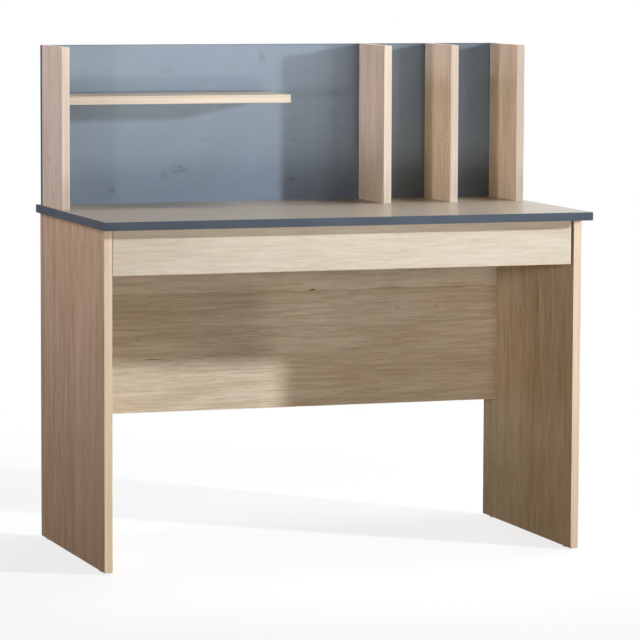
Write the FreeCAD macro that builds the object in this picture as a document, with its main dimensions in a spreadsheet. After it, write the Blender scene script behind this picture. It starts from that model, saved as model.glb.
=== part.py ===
import FreeCAD, Part
import os
import Sketcher
from FreeCAD import Placement, Rotation, Vector

# Student desk with a hutch: two slab sides, a desktop, a modesty panel, a wide drawer
# on roller runners, and an open hutch of four uprights on a full back, with one shelf.
# Millimetres. X runs along the width, Y from the front to the back, Z up from the floor.
# The origin lies on the floor under the middle of the whole desk.

SIZES = (
    ("board", 18.0, "thickness of the oak faced boards"),
    ("back_board", 16.0, "thickness of the blue-grey hutch back"),
    ("side_span", 1090.0, "desk width over the outer faces of the sides"),
    ("side_depth", 530.0, "depth of the desk sides"),
    ("side_height", 732.0, "height of the desk sides"),
    ("top_overhang_side", 10.0, "desktop past each side"),
    ("top_overhang_front", 40.0, "desktop past the front edges of the sides"),
    ("top_band", 2.0, "thickness of the desktop edging"),
    ("top_band_round", 1.2, "rounding of the desktop edging"),
    ("edge_band", 1.0, "thickness of the other edging"),
    ("edge_band_round", 0.5, "rounding of the other edging"),
    ("modesty_setback", 57.0, "modesty panel ahead of the back edges of the sides"),
    ("modesty_height", 452.0, "height of the modesty panel"),
    ("hutch_inset", 5.0, "hutch back ahead of the back edge of the desktop"),
    ("hutch_height", 356.0, "hutch above the desktop"),
    ("upright_depth", 168.0, "depth of the hutch uprights"),
    ("bay_width", 143.0, "clear width of each narrow bay"),
    ("shelf_length", 510.0, "shelf from the left upright to its free end"),
    ("shelf_rise", 230.0, "underside of the shelf above the desktop"),
    ("front_height", 96.0, "height of the drawer front"),
    ("front_recess", 4.0, "drawer front behind the front edges of the sides"),
    ("front_reveal_left", 2.0, "gap at the left end of the drawer front"),
    ("front_reveal_right", 5.0, "gap at the right end of the drawer front"),
    ("front_gap", 3.0, "gap between the drawer front and the desktop"),
    ("box_board", 15.0, "thickness of the drawer sides and back"),
    ("box_lift", 14.0, "drawer sides above the lower edge of the front"),
    ("box_headroom", 15.0, "drawer sides below the desktop"),
    ("box_back_gap", 33.0, "drawer ahead of the modesty panel"),
    ("bottom_sheet", 3.0, "thickness of the drawer bottom"),
    ("groove_lift", 10.0, "groove above the lower edge of the drawer sides"),
    ("groove_depth", 6.0, "depth of the groove for the drawer bottom"),
    ("groove_play", 0.2, "play of the drawer bottom in its groove"),
    ("runner_gap", 12.5, "room for the runners beside the drawer"),
    ("runner_sheet", 1.2, "thickness of the runner steel"),
    ("runner_web", 20.4, "height of the drawer runner"),
    ("runner_ledge", 7.3, "reach of the drawer runner's rolling ledge"),
    ("runner_foot", 12.0, "reach of the drawer runner under the drawer side"),
    ("runner_flange", 8.5, "reach of the cabinet runner's flanges"),
    ("runner_headroom", 1.5, "cabinet runner above the rolling ledge"),
    ("runner_setback", 2.0, "runners behind the drawer front"),
    ("roller_radius", 8.0, "radius of the runner rollers"),
    ("roller_width", 5.0, "width of the runner rollers"),
    ("roller_play", 0.3, "play between a roller and its track"),
    ("roller_side_play", 0.2, "play between a roller and its collars"),
    ("roller_inset", 12.0, "roller axle from the end of its runner"),
    ("cabinet_collar", 1.1, "collar that spaces a roller off the cabinet runner"),
    ("drawer_collar", 1.7, "collar that spaces a roller off the drawer runner"),
    ("axle_radius", 2.5, "radius of the roller axles"),
    ("axle_running_fit", 0.05, "radial play of a roller on its axle"),
    ("axle_head", 0.8, "thickness of the axle heads"),
    ("axle_head_radius", 4.0, "radius of the axle heads and collars"),
    ("hole_fit", 0.1, "radial play of a fastener in its hole"),
    ("hole_slack", 1.0, "hole beyond the end of its fastener"),
    ("dowel_radius", 4.0, "radius of the beech dowels"),
    ("dowel_short", 10.0, "dowel in the face of a board"),
    ("dowel_long", 20.0, "dowel in the end of a board"),
    ("dowel_chamfer", 0.8, "chamfer of the dowel ends"),
    ("bolt_radius", 3.0, "radius of the cam bolts"),
    ("bolt_thread", 11.0, "cam bolt in the face of a board"),
    ("bolt_reach", 24.0, "cam centre from the joint"),
    ("bolt_neck_radius", 1.8, "radius of the cam bolt's neck"),
    ("bolt_neck", 4.0, "length of the cam bolt's neck"),
    ("bolt_head", 3.0, "cam bolt beyond the cam centre"),
    ("cam_radius", 7.5, "radius of the cam housings"),
    ("cam_bore_play", 0.4, "play of a cam bolt in its cam"),
    ("cam_floor", 0.6, "cam housing beyond the bolt"),
    ("cam_cross_length", 9.0, "length of the cam's driver cross"),
    ("cam_cross_width", 1.6, "width of the cam's driver cross"),
    ("cam_cross_depth", 2.4, "depth of the cam's driver cross"),
    ("confirmat_head_radius", 5.0, "head radius of the hutch back screws"),
    ("confirmat_head", 4.0, "head height of the hutch back screws"),
    ("confirmat_neck_radius", 3.5, "neck radius of the hutch back screws"),
    ("confirmat_thread_radius", 2.6, "thread radius of the hutch back screws"),
    ("confirmat_length", 50.0, "length of the hutch back screws"),
    ("cap_radius", 6.5, "radius of the screw cover caps"),
    ("cap_height", 1.0, "thickness of the screw cover caps"),
    ("cap_chamfer", 0.5, "chamfer of the screw cover caps"),
    ("wood_screw_head_radius", 4.4, "head radius of the countersunk screws"),
    ("wood_screw_head", 2.6, "head height of the countersunk screws"),
    ("wood_screw_radius", 2.0, "shank radius of the countersunk screws"),
    ("wood_screw_length", 45.0, "length of the countersunk screws"),
    ("pan_screw_head_radius", 3.5, "head radius of the pan head screws"),
    ("pan_screw_head", 1.5, "head height of the pan head screws"),
    ("pan_screw_radius", 1.75, "shank radius of the pan head screws"),
    ("pan_screw_length", 13.0, "length of the pan head screws"),
    ("screw_point", 3.0, "length of a screw's point"),
    ("glide_height", 3.0, "floor glide under a side"),
    ("glide_radius", 8.0, "radius of a floor glide"),
    ("glide_chamfer", 1.0, "chamfer of a floor glide"),
    ("glide_nail_radius", 1.2, "radius of a glide's nail"),
    ("glide_nail", 16.0, "length of a glide's nail"),
    ("glide_inset", 45.0, "glide from the front and back edges of a side"),
    ("top_fixing_inset", 60.0, "front desktop fixing from the front of the sides"),
    ("top_fixing_lead", 30.0, "back desktop fixing ahead of the hutch"),
    ("dowel_step", 32.0, "dowel beside a cam bolt"),
    ("modesty_fixing_low", 60.0, "lower side fixing above the modesty panel's lower edge"),
    ("modesty_fixing_high", 110.0, "upper side fixing below the modesty panel's upper edge"),
    ("modesty_dowel_inset", 120.0, "modesty top dowel from the left side"),
    ("upright_screw_inset", 40.0, "base screw and shelf dowel from an upright's edges"),
    ("back_screw_inset", 70.0, "hutch back screw from the ends of an upright"),
    ("back_base_inset", 120.0, "hutch back base screw from the sides"),
    ("shelf_screw_inset", 60.0, "shelf screw from the ends of the shelf"),
    ("runner_screw_inset", 40.0, "runner screw from the ends of a runner"),
    ("runner_screw_edge", 6.0, "drawer runner screw from the drawer side's outer face"),
    ("box_screw_inset", 12.0, "drawer back screw from the back's edges"),
    ("box_dowel_inset", 10.0, "drawer dowel below the top of the drawer side"),
    ("box_cam_band", 20.0, "height kept for the dowel above the drawer cam"),
    ("bottom_screw_inset", 90.0, "drawer bottom screw from the drawer sides"),
    ("bottom_screw_step", 270.0, "next drawer bottom screw"),
)

doc = FreeCAD.newDocument("student_desk_with_hutch")
sheet = doc.addObject("Spreadsheet::Sheet", "sizes")
for row, (alias, value, note) in enumerate(SIZES, 1):
    sheet.set(f"A{row}", note)
    sheet.set(f"B{row}", str(value))
    sheet.setAlias(f"B{row}", alias)
doc.recompute()

# Places shared by several pieces, each worked out from the sheet.
BACK = "((sizes.side_depth + sizes.top_overhang_front) / 2)"
SIDE_FRONT = f"({BACK} - sizes.side_depth)"
TOP_FRONT = f"({SIDE_FRONT} - sizes.top_overhang_front)"
SIDE_OUT = "(sizes.side_span / 2)"
SIDE_IN = f"({SIDE_OUT} - sizes.board)"
SIDE_MID = f"({SIDE_OUT} - sizes.board / 2)"
SIDE_BOTTOM = "sizes.glide_height"
SIDE_TOP = "(sizes.glide_height + sizes.side_height)"
TOP_FACE = f"({SIDE_TOP} + sizes.board)"
TOP_END = f"({SIDE_OUT} + sizes.top_overhang_side)"
MODESTY_BACK = f"({BACK} - sizes.modesty_setback)"
MODESTY_FRONT = f"({MODESTY_BACK} - sizes.board)"
MODESTY_MID = f"({MODESTY_BACK} - sizes.board / 2)"
MODESTY_BOTTOM = f"({SIDE_TOP} - sizes.modesty_height)"
HUTCH_BACK = f"({BACK} - sizes.hutch_inset)"
BACK_FACE = f"({HUTCH_BACK} - sizes.back_board)"
BACK_MID = f"({HUTCH_BACK} - sizes.back_board / 2)"
HUTCH_FRONT = f"({BACK_FACE} - sizes.upright_depth)"
HUTCH_TOP = f"({TOP_FACE} + sizes.hutch_height)"
SHELF_BOTTOM = f"({TOP_FACE} + sizes.shelf_rise)"
SHELF_TOP = f"({SHELF_BOTTOM} + sizes.board)"
SHELF_MID = f"({SHELF_BOTTOM} + sizes.board / 2)"
SHELF_END = f"(sizes.shelf_length - {SIDE_IN})"
OUTER_DIVIDER = f"({SIDE_IN} - sizes.bay_width - sizes.board)"
INNER_DIVIDER = f"({OUTER_DIVIDER} - sizes.bay_width - sizes.board)"
FRONT_FACE = f"({SIDE_FRONT} + sizes.front_recess)"
FRONT_BACK = f"({FRONT_FACE} + sizes.board)"
FRONT_TOP = f"({SIDE_TOP} - sizes.front_gap)"
FRONT_BOTTOM = f"({FRONT_TOP} - sizes.front_height)"
FRONT_LEFT = f"(sizes.front_reveal_left - {SIDE_IN})"
FRONT_RIGHT = f"({SIDE_IN} - sizes.front_reveal_right)"
BOX_OUT = f"({SIDE_IN} - sizes.runner_gap)"
BOX_IN = f"({BOX_OUT} - sizes.box_board)"
BOX_SIDE_MID = f"({BOX_OUT} - sizes.box_board / 2)"
BOX_BOTTOM = f"({FRONT_BOTTOM} + sizes.box_lift)"
BOX_TOP = f"({SIDE_TOP} - sizes.box_headroom)"
BOX_END = f"({MODESTY_FRONT} - sizes.box_back_gap)"
BOX_BACK_MID = f"({BOX_END} - sizes.box_board / 2)"
GROOVE_BOTTOM = f"({BOX_BOTTOM} + sizes.groove_lift)"
SHEET_TOP = f"({GROOVE_BOTTOM} + sizes.bottom_sheet)"
GROOVE_TOP = f"({SHEET_TOP} + sizes.groove_play)"
BOX_CAM = f"(({GROOVE_TOP} + {BOX_TOP} - sizes.box_cam_band) / 2)"
RUNNER_FRONT = f"({FRONT_BACK} + sizes.runner_setback)"
RUNNER_MID = f"(({RUNNER_FRONT} + {BOX_END}) / 2)"
LEDGE_TOP = f"({BOX_BOTTOM} - sizes.runner_sheet + sizes.runner_web)"
LEDGE_BOTTOM = f"({LEDGE_TOP} - sizes.runner_sheet)"
ROLLER_AXIS = f"({LEDGE_BOTTOM} - sizes.roller_play - sizes.roller_radius)"
TRACK = f"({ROLLER_AXIS} - sizes.roller_radius - sizes.roller_play)"
CABINET_LIP = f"({LEDGE_TOP} + sizes.runner_headroom)"
WEB_FACE = f"({SIDE_IN} - sizes.runner_sheet)"

UPRIGHTS = (
    ("hutch_left_side", f"(-{SIDE_OUT})"),
    ("hutch_inner_divider", INNER_DIVIDER),
    ("hutch_outer_divider", OUTER_DIVIDER),
    ("hutch_right_side", SIDE_IN),
)
HANDS = (("left", "-", "-X"), ("right", "", "+X"))

POINTING = {
    "+Z": Rotation(),
    "-Z": Rotation(Vector(1, 0, 0), 180),
    "+X": Rotation(Vector(0, 1, 0), 90),
    "-X": Rotation(Vector(0, 1, 0), -90),
    "+Y": Rotation(Vector(1, 0, 0), -90),
    "-Y": Rotation(Vector(1, 0, 0), 90),
}

nodes = {}
blanks = {}
holes = {}
groups = {}


def number(text):
    """Present value of an expression on the sheet."""
    return float(sheet.evalExpression(text))


def place(piece, x, y, z):
    """Bind where a piece stands."""
    for axis, text in zip("xyz", (x, y, z)):
        piece.setExpression(f"Placement.Base.{axis}", text)


def box(name, low, high):
    """Plain rectangular piece between two corners."""
    piece = doc.addObject("Part::Box", name)
    for side, start, end in zip(("Length", "Width", "Height"), low, high):
        piece.setExpression(side, f"{end} - ({start})")
    place(piece, *low)
    return piece


def board(name, low, high):
    """Board that is drilled later."""
    blanks[name] = box(f"{name}_blank", low, high)
    holes[name] = []


def origin_plane(body, role):
    return [plane for plane in body.Origin.OriginFeatures if plane.Role == role][0]


def outline(body, name, role, corners):
    """Closed sketch of straight edges, with each corner bound to the sheet."""
    sketch = body.newObject("Sketcher::SketchObject", name)
    sketch.AttachmentSupport = [(origin_plane(body, role), "")]
    sketch.MapMode = "FlatFace"
    points = [Vector(number(across), number(up), 0) for across, up in corners]
    count = len(points)
    for index in range(count):
        edge = Part.LineSegment(points[index], points[(index + 1) % count])
        sketch.addGeometry(edge, False)
    for index in range(count):
        joined = Sketcher.Constraint("Coincident", index, 2, (index + 1) % count, 1)
        sketch.addConstraint(joined)
    for index, (across, up) in enumerate(corners):
        for kind, text, value in (
            ("DistanceX", across, points[index].x),
            ("DistanceY", up, points[index].y),
        ):
            label = f"{kind}{index}"
            which = sketch.addConstraint(Sketcher.Constraint(kind, -1, 1, index, 1, value))
            sketch.renameConstraint(which, label)
            sketch.setExpression(f"Constraints.{label}", text)
    return sketch


def turned(name, corners):
    """Solid of revolution about its own Z axis, from radius and height pairs."""
    body = doc.addObject("PartDesign::Body", name)
    sketch = outline(body, f"{name}_profile", "XZ_Plane", corners)
    turn = body.newObject("PartDesign::Revolution", f"{name}_turn")
    turn.Profile = sketch
    turn.ReferenceAxis = (sketch, ["V_Axis"])
    turn.Angle = 360
    return body


def strip(name, length, width, height, outer, run, rounding):
    """Edge band whose two long outer edges are rounded."""
    body = doc.addObject("PartDesign::Body", name)
    corners = (("0", "0"), (length, "0"), (length, width), ("0", width))
    pad = body.newObject("PartDesign::Pad", f"{name}_pad")
    pad.Profile = outline(body, f"{name}_plan", "XY_Plane", corners)
    pad.setExpression("Length", height)
    doc.recompute()
    axis = "XYZ".index(outer[1])
    along = "XYZ".index(run)
    extent = [number(length), number(width), number(height)]
    face = extent[axis] if outer[0] == "+" else 0.0
    chosen = []
    for index, edge in enumerate(pad.Shape.Edges, 1):
        first, last = (vertex.Point for vertex in edge.Vertexes)
        on_face = abs(first[axis] - face) < 1e-6 and abs(last[axis] - face) < 1e-6
        if on_face and abs(first[along] - last[along]) > 1e-6:
            chosen.append(f"Edge{index}")
    fillet = body.newObject("PartDesign::Fillet", f"{name}_rounding")
    fillet.Base = (pad, chosen)
    fillet.setExpression("Radius", rounding)
    return body


def band(name, low, high, outer, run, thickness="edge_band"):
    """One edge band between two corners."""
    extent = [f"({end}) - ({start})" for start, end in zip(low, high)]
    body = strip(name, *extent, outer, run, f"sizes.{thickness}_round")
    place(body, *low)
    nodes[name] = body


def copy(source, name, axis, at, turn=0):
    """Placed copy of a prototype whose own Z axis then points along the given axis."""
    link = doc.addObject("App::Link", name)
    link.LinkedObject = source
    link.Placement = Placement(Vector(), POINTING[axis] * Rotation(Vector(0, 0, 1), turn))
    place(link, *at)
    return link


def group_copy(source, group, axis, at, turn=0):
    """Add a copy to a group of like solids, which becomes one node."""
    members = groups.setdefault(group, [])
    members.append(copy(source, f"{group}_{len(members) + 1}", axis, at, turn))


def fasten(kind, group, axis, at, drilled, turn=0):
    """Set one fastener of a group and drill the pieces that it passes through."""
    piece, hole = fasteners[kind]
    group_copy(piece, group, axis, at, turn)
    tool = copy(hole, f"{group}_hole_{len(groups[group])}", axis, at, turn)
    for name in drilled:
        holes[name].append((kind, tool))


def finish_boards():
    """Cut the holes out of each board, cams after the bores that run into them."""
    for name, blank in blanks.items():
        solid = blank
        cams = [tool for kind, tool in holes[name] if kind.endswith("cam")]
        bores = [tool for kind, tool in holes[name] if not kind.endswith("cam")]
        for word, tools in (("bores", bores), ("cams", cams)):
            if tools:
                cutter = doc.addObject("Part::Compound", f"{name}_{word}")
                cutter.Links = tools
                cut = doc.addObject("Part::Cut", f"{name}_with_{word}")
                cut.Base = solid
                cut.Tool = cutter
                solid = cut
        nodes[name] = solid


def finish_groups():
    """Join each group of like solids into one node."""
    for name, members in groups.items():
        joined = doc.addObject("Part::Compound", name)
        joined.Links = members
        nodes[name] = joined


# Fasteners: each is a turned piece, with a hole of the same form grown by the fit.
# A fastener's own origin lies where the two boards meet, or on the face under its head.


def dowel_profile(grow, slack, chamfer):
    radius = f"sizes.dowel_radius + {grow}"
    low = f"-sizes.dowel_short - {slack}"
    high = f"sizes.dowel_long + {slack}"
    return (
        ("0", low),
        (f"{radius} - {chamfer}", low),
        (radius, f"{low} + {chamfer}"),
        (radius, f"{high} - {chamfer}"),
        (f"{radius} - {chamfer}", high),
        ("0", high),
    )


def bore_profile(radius, low, high):
    return (("0", low), (radius, low), (radius, high), ("0", high))


def bolt_profile():
    neck_end = "sizes.bolt_reach - sizes.bolt_head"
    neck_start = f"{neck_end} - sizes.bolt_neck"
    tip = "sizes.bolt_reach + sizes.bolt_head"
    return (
        ("0", "-sizes.bolt_thread"),
        ("sizes.bolt_radius", "-sizes.bolt_thread"),
        ("sizes.bolt_radius", neck_start),
        ("sizes.bolt_neck_radius", neck_start),
        ("sizes.bolt_neck_radius", neck_end),
        ("sizes.bolt_radius", neck_end),
        ("sizes.bolt_radius", tip),
        ("0", tip),
    )


def confirmat_profile(grow, slack):
    neck = f"sizes.confirmat_neck_radius + {grow}"
    thread = f"sizes.confirmat_thread_radius + {grow}"
    head_end = f"sizes.confirmat_head + {grow}"
    neck_end = f"sizes.back_board + {grow}"
    point_start = f"sizes.confirmat_length - sizes.screw_point + {slack}"
    return (
        ("0", "0"),
        (f"sizes.confirmat_head_radius + {grow}", "0"),
        (neck, head_end),
        (neck, neck_end),
        (thread, neck_end),
        (thread, point_start),
        ("0", f"sizes.confirmat_length + {slack}"),
    )


def wood_screw_profile(grow, slack):
    shank = f"sizes.wood_screw_radius + {grow}"
    return (
        ("0", "0"),
        (f"sizes.wood_screw_head_radius + {grow}", "0"),
        (shank, f"sizes.wood_screw_head + {grow}"),
        (shank, f"sizes.wood_screw_length - sizes.screw_point + {slack}"),
        ("0", f"sizes.wood_screw_length + {slack}"),
    )


def pan_screw_profile():
    shank_end = "sizes.pan_screw_length - sizes.screw_point"
    return (
        ("0", "-sizes.pan_screw_head"),
        ("sizes.pan_screw_head_radius", "-sizes.pan_screw_head"),
        ("sizes.pan_screw_head_radius", "0"),
        ("sizes.pan_screw_radius", "0"),
        ("sizes.pan_screw_radius", shank_end),
        ("0", "sizes.pan_screw_length"),
    )


def glide_profile():
    low = "-sizes.glide_height"
    return (
        ("0", low),
        ("sizes.glide_radius - sizes.glide_chamfer", low),
        ("sizes.glide_radius", f"{low} + sizes.glide_chamfer"),
        ("sizes.glide_radius", "0"),
        ("sizes.glide_nail_radius", "0"),
        ("sizes.glide_nail_radius", "sizes.glide_nail - sizes.screw_point"),
        ("0", "sizes.glide_nail"),
    )


def cap_profile():
    return (
        ("0", "-sizes.cap_height"),
        ("sizes.cap_radius - sizes.cap_chamfer", "-sizes.cap_height"),
        ("sizes.cap_radius", "sizes.cap_chamfer - sizes.cap_height"),
        ("sizes.cap_radius", "0"),
        ("0", "0"),
    )


def axle_profile(collar):
    """Axle from the back of the runner's web, through collar and roller, to its head."""
    web = "sizes.runner_sheet"
    seat = f"{web} + {collar}"
    head = f"{seat} + sizes.roller_width + 2 * sizes.roller_side_play"
    tip = f"{head} + sizes.axle_head"
    return (
        ("0", "0"),
        ("sizes.axle_radius", "0"),
        ("sizes.axle_radius", web),
        ("sizes.axle_head_radius", web),
        ("sizes.axle_head_radius", seat),
        ("sizes.axle_radius", seat),
        ("sizes.axle_radius", head),
        ("sizes.axle_head_radius", head),
        ("sizes.axle_head_radius", tip),
        ("0", tip),
    )


def cam_lock(name, thickness):
    """Cam housing with a bore for the bolt at half the board and a driver cross."""
    depth = f"{thickness} / 2 + sizes.bolt_radius + sizes.cam_bore_play + sizes.cam_floor"
    barrel = doc.addObject("Part::Cylinder", f"{name}_barrel")
    barrel.setExpression("Radius", "sizes.cam_radius")
    barrel.setExpression("Height", depth)
    bore = doc.addObject("Part::Cylinder", f"{name}_bore")
    bore.setExpression("Radius", "sizes.bolt_radius + sizes.cam_bore_play")
    bore.setExpression("Height", "2 * sizes.cam_radius + 2 * sizes.hole_slack")
    bore.Placement = Placement(Vector(), POINTING["+X"])
    place(bore, "-sizes.cam_radius - sizes.hole_slack", "0", f"{thickness} / 2")
    long_half = "sizes.cam_cross_length / 2"
    slim_half = "sizes.cam_cross_width / 2"
    low = "-sizes.hole_slack"
    high = "sizes.cam_cross_depth"
    bars = []
    for word, across, along in (
        ("first", long_half, slim_half),
        ("second", slim_half, long_half),
    ):
        corner = (f"-{across}", f"-{along}", low)
        bars.append(box(f"{name}_{word}_slot", corner, (across, along, high)))
    cross = doc.addObject("Part::Fuse", f"{name}_cross")
    cross.Base, cross.Tool = bars
    bored = doc.addObject("Part::Cut", f"{name}_bored")
    bored.Base = barrel
    bored.Tool = bore
    crossed = doc.addObject("Part::Cut", name)
    crossed.Base = bored
    crossed.Tool = cross
    wall = "sizes.cam_radius + sizes.hole_fit"
    hole = turned(f"{name}_hole", bore_profile(wall, "0", f"{depth} + sizes.hole_slack"))
    return crossed, hole


GROW = "sizes.hole_fit"
SLACK = "sizes.hole_slack"
PAN_SHANK = f"sizes.pan_screw_radius + {GROW}"
NAIL_SHANK = f"sizes.glide_nail_radius + {GROW}"
BOLT_SHANK = f"sizes.bolt_radius + {GROW}"
BOLT_LOW = f"-sizes.bolt_thread - {SLACK}"
BOLT_HIGH = f"sizes.bolt_reach + sizes.bolt_head + {SLACK}"
PAN_HIGH = f"sizes.pan_screw_length + {SLACK}"
NAIL_HIGH = f"sizes.glide_nail + {SLACK}"

fasteners = {
    "dowel": (
        turned("dowel", dowel_profile("0", "0", "sizes.dowel_chamfer")),
        turned("dowel_hole", dowel_profile(GROW, SLACK, "sizes.dowel_chamfer")),
    ),
    "bolt": (
        turned("cam_bolt", bolt_profile()),
        turned("cam_bolt_hole", bore_profile(BOLT_SHANK, BOLT_LOW, BOLT_HIGH)),
    ),
    "confirmat": (
        turned("confirmat", confirmat_profile("0", "0")),
        turned("confirmat_hole", confirmat_profile(GROW, SLACK)),
    ),
    "wood_screw": (
        turned("wood_screw", wood_screw_profile("0", "0")),
        turned("wood_screw_hole", wood_screw_profile(GROW, SLACK)),
    ),
    "pan_screw": (
        turned("pan_screw", pan_screw_profile()),
        turned("pan_screw_hole", bore_profile(PAN_SHANK, "0", PAN_HIGH)),
    ),
    "glide": (
        turned("glide", glide_profile()),
        turned("glide_hole", bore_profile(NAIL_SHANK, "0", NAIL_HIGH)),
    ),
    "cam": cam_lock("desk_cam", "sizes.board"),
    "box_cam": cam_lock("drawer_cam", "sizes.box_board"),
}


def desk_boards():
    """Sides, desktop and modesty panel, with their edging."""
    front = f"{SIDE_FRONT} + sizes.edge_band"
    rear = f"{BACK} - sizes.edge_band"
    board("left_side_panel", (f"-{SIDE_OUT}", front, SIDE_BOTTOM), (f"-{SIDE_IN}", rear, SIDE_TOP))
    board("right_side_panel", (SIDE_IN, front, SIDE_BOTTOM), (SIDE_OUT, rear, SIDE_TOP))
    for word, y, outer in (("front", SIDE_FRONT, "-Y"), ("back", rear, "+Y")):
        source = strip(
            f"side_{word}_band",
            "sizes.board",
            "sizes.edge_band",
            "sizes.side_height",
            outer,
            "Z",
            "sizes.edge_band_round",
        )
        for x in (f"-{SIDE_OUT}", SIDE_IN):
            group_copy(source, f"side_{word}_bands", "+Z", (x, y, SIDE_BOTTOM))
    core_end = f"({TOP_END} - sizes.top_band)"
    core_front = f"({TOP_FRONT} + sizes.top_band)"
    core_back = f"({BACK} - sizes.top_band)"
    board("desktop_panel", (f"-{core_end}", core_front, SIDE_TOP), (core_end, core_back, TOP_FACE))
    for name, low, high, outer, run in (
        ("front", (f"-{TOP_END}", TOP_FRONT), (TOP_END, core_front), "-Y", "X"),
        ("back", (f"-{TOP_END}", core_back), (TOP_END, BACK), "+Y", "X"),
        ("left", (f"-{TOP_END}", core_front), (f"-{core_end}", core_back), "-X", "Y"),
        ("right", (core_end, core_front), (TOP_END, core_back), "+X", "Y"),
    ):
        corners = ((*low, SIDE_TOP), (*high, TOP_FACE))
        band(f"desktop_{name}_band", *corners, outer, run, "top_band")
    core_bottom = f"({MODESTY_BOTTOM} + sizes.edge_band)"
    board("modesty_panel", (f"-{SIDE_IN}", MODESTY_FRONT, core_bottom), (SIDE_IN, MODESTY_BACK, SIDE_TOP))
    low = (f"-{SIDE_IN}", MODESTY_FRONT, MODESTY_BOTTOM)
    band("modesty_bottom_band", low, (SIDE_IN, MODESTY_BACK, core_bottom), "-Z", "X")


def hutch_boards():
    """Blue-grey back, four uprights and the shelf, with their edging."""
    core_top = f"({HUTCH_TOP} - sizes.edge_band)"
    core_end = f"({SIDE_OUT} - sizes.edge_band)"
    board("hutch_back_panel", (f"-{core_end}", BACK_FACE, TOP_FACE), (core_end, HUTCH_BACK, core_top))
    low = (f"-{SIDE_OUT}", BACK_FACE, core_top)
    band("back_panel_top_band", low, (SIDE_OUT, HUTCH_BACK, HUTCH_TOP), "+Z", "X")
    ends = (("left", f"-{SIDE_OUT}", "-X"), ("right", core_end, "+X"))
    for word, x, outer in ends:
        source = strip(
            f"back_panel_{word}_band",
            "sizes.edge_band",
            "sizes.back_board",
            "sizes.hutch_height - sizes.edge_band",
            outer,
            "Z",
            "sizes.edge_band_round",
        )
        group_copy(source, "back_panel_end_bands", "+Z", (x, BACK_FACE, TOP_FACE))
    core_front = f"({HUTCH_FRONT} + sizes.edge_band)"
    front_band = strip(
        "hutch_front_band",
        "sizes.board",
        "sizes.edge_band",
        "sizes.hutch_height",
        "-Y",
        "Z",
        "sizes.edge_band_round",
    )
    top_band = strip(
        "hutch_top_band",
        "sizes.board",
        "sizes.upright_depth - sizes.edge_band",
        "sizes.edge_band",
        "+Z",
        "Y",
        "sizes.edge_band_round",
    )
    for name, x in UPRIGHTS:
        board(name, (x, core_front, TOP_FACE), (f"{x} + sizes.board", BACK_FACE, core_top))
        group_copy(front_band, "hutch_front_bands", "+Z", (x, HUTCH_FRONT, TOP_FACE))
        group_copy(top_band, "hutch_top_bands", "+Z", (x, core_front, core_top))
    shelf_core = f"({SHELF_END} - sizes.edge_band)"
    board("hutch_shelf", (f"-{SIDE_IN}", core_front, SHELF_BOTTOM), (shelf_core, BACK_FACE, SHELF_TOP))
    low = (f"-{SIDE_IN}", HUTCH_FRONT, SHELF_BOTTOM)
    band("shelf_front_band", low, (SHELF_END, core_front, SHELF_TOP), "-Y", "X")
    low = (shelf_core, core_front, SHELF_BOTTOM)
    band("shelf_end_band", low, (SHELF_END, BACK_FACE, SHELF_TOP), "+X", "Y")


def drawer_boards():
    """Drawer front with its edging, and the box behind it with its grooved bottom."""
    core_left = f"({FRONT_LEFT} + sizes.edge_band)"
    core_right = f"({FRONT_RIGHT} - sizes.edge_band)"
    core_low = f"({FRONT_BOTTOM} + sizes.edge_band)"
    core_high = f"({FRONT_TOP} - sizes.edge_band)"
    board("drawer_front", (core_left, FRONT_FACE, core_low), (core_right, FRONT_BACK, core_high))
    for word, z, outer in (("lower", FRONT_BOTTOM, "-Z"), ("upper", core_high, "+Z")):
        source = strip(
            f"drawer_front_{word}_band",
            f"{FRONT_RIGHT} - {FRONT_LEFT}",
            "sizes.board",
            "sizes.edge_band",
            outer,
            "X",
            "sizes.edge_band_round",
        )
        group_copy(source, "drawer_front_long_bands", "+Z", (FRONT_LEFT, FRONT_FACE, z))
    for word, x, outer in (("left", FRONT_LEFT, "-X"), ("right", core_right, "+X")):
        source = strip(
            f"drawer_front_{word}_band",
            "sizes.edge_band",
            "sizes.board",
            f"{core_high} - {core_low}",
            outer,
            "Z",
            "sizes.edge_band_round",
        )
        group_copy(source, "drawer_front_end_bands", "+Z", (x, FRONT_FACE, core_low))
    board("drawer_left_side", (f"-{BOX_OUT}", FRONT_BACK, BOX_BOTTOM), (f"-{BOX_IN}", BOX_END, BOX_TOP))
    board("drawer_right_side", (BOX_IN, FRONT_BACK, BOX_BOTTOM), (BOX_OUT, BOX_END, BOX_TOP))
    back_front = f"({BOX_END} - sizes.box_board)"
    board("drawer_back", (f"-{BOX_IN}", back_front, SHEET_TOP), (BOX_IN, BOX_END, BOX_TOP))
    groove_end = f"({BOX_IN} + sizes.groove_depth)"
    groove_front = f"({FRONT_BACK} - sizes.groove_depth)"
    low = (f"-{groove_end}", groove_front, GROOVE_BOTTOM)
    groove = box("bottom_groove", low, (groove_end, BOX_END, GROOVE_TOP))
    for name in ("drawer_front", "drawer_left_side", "drawer_right_side"):
        holes[name].append(("groove", groove))
    sheet_end = f"({groove_end} - sizes.groove_play)"
    sheet_front = f"({groove_front} + sizes.groove_play)"
    board("drawer_bottom", (f"-{sheet_end}", sheet_front, GROOVE_BOTTOM), (sheet_end, BOX_END, SHEET_TOP))


def runner(name, sign, corners):
    """Pressed steel runner: a bent section that runs from front to back."""
    body = doc.addObject("PartDesign::Body", f"{name}_blank")
    signed = [(f"{sign}({x})", z) for x, z in corners]
    pad = body.newObject("PartDesign::Pad", f"{name}_pad")
    pad.Profile = outline(body, f"{name}_section", "XZ_Plane", signed)
    pad.setExpression("Length", f"{BOX_END} - {RUNNER_FRONT}")
    pad.Reversed = True
    place(body, "0", RUNNER_FRONT, "0")
    blanks[name] = body
    holes[name] = []


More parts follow.
